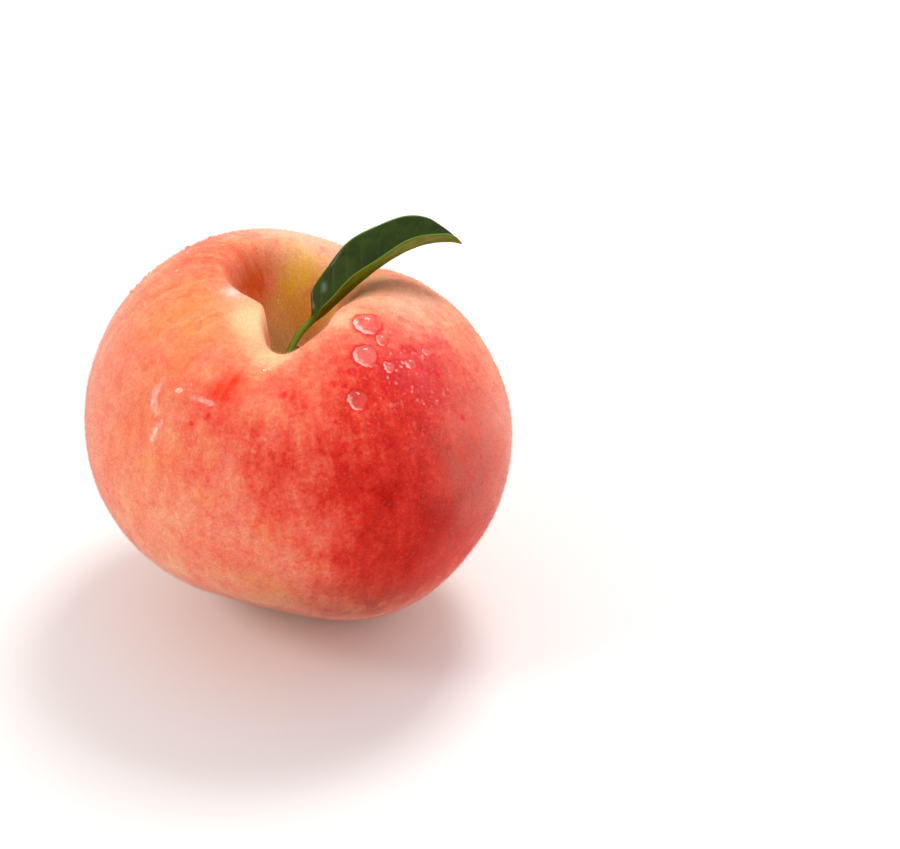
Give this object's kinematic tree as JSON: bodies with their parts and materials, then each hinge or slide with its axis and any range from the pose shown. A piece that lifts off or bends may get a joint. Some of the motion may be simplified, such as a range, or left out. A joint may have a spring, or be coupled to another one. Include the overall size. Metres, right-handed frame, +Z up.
{
  "type": "peach",
  "caption": "Whole ripe peach with a deep stem cavity, a suture, a short stub of stalk and one folded green leaf, resting on a small flat spot.",
  "frame": {"origin": "middle of the small flat spot under the fruit, on the surface that it rests on", "axes": "+Z up through the fruit toward its stem cavity, +X to the side that the leaf's tip points to, +Y away from the side that the picture shows"},
  "size_m": [0.0807, 0.0792, 0.0768],
  "materials": {
    "peach_skin": "matte",
    "stalk_bark": "matte",
    "leaf_green": "satin"
  },
  "bodies": {
    "root": {"fruit": "peach_skin", "stalk": "stalk_bark", "leaf": "leaf_green"}
  },
  "joints": []
}
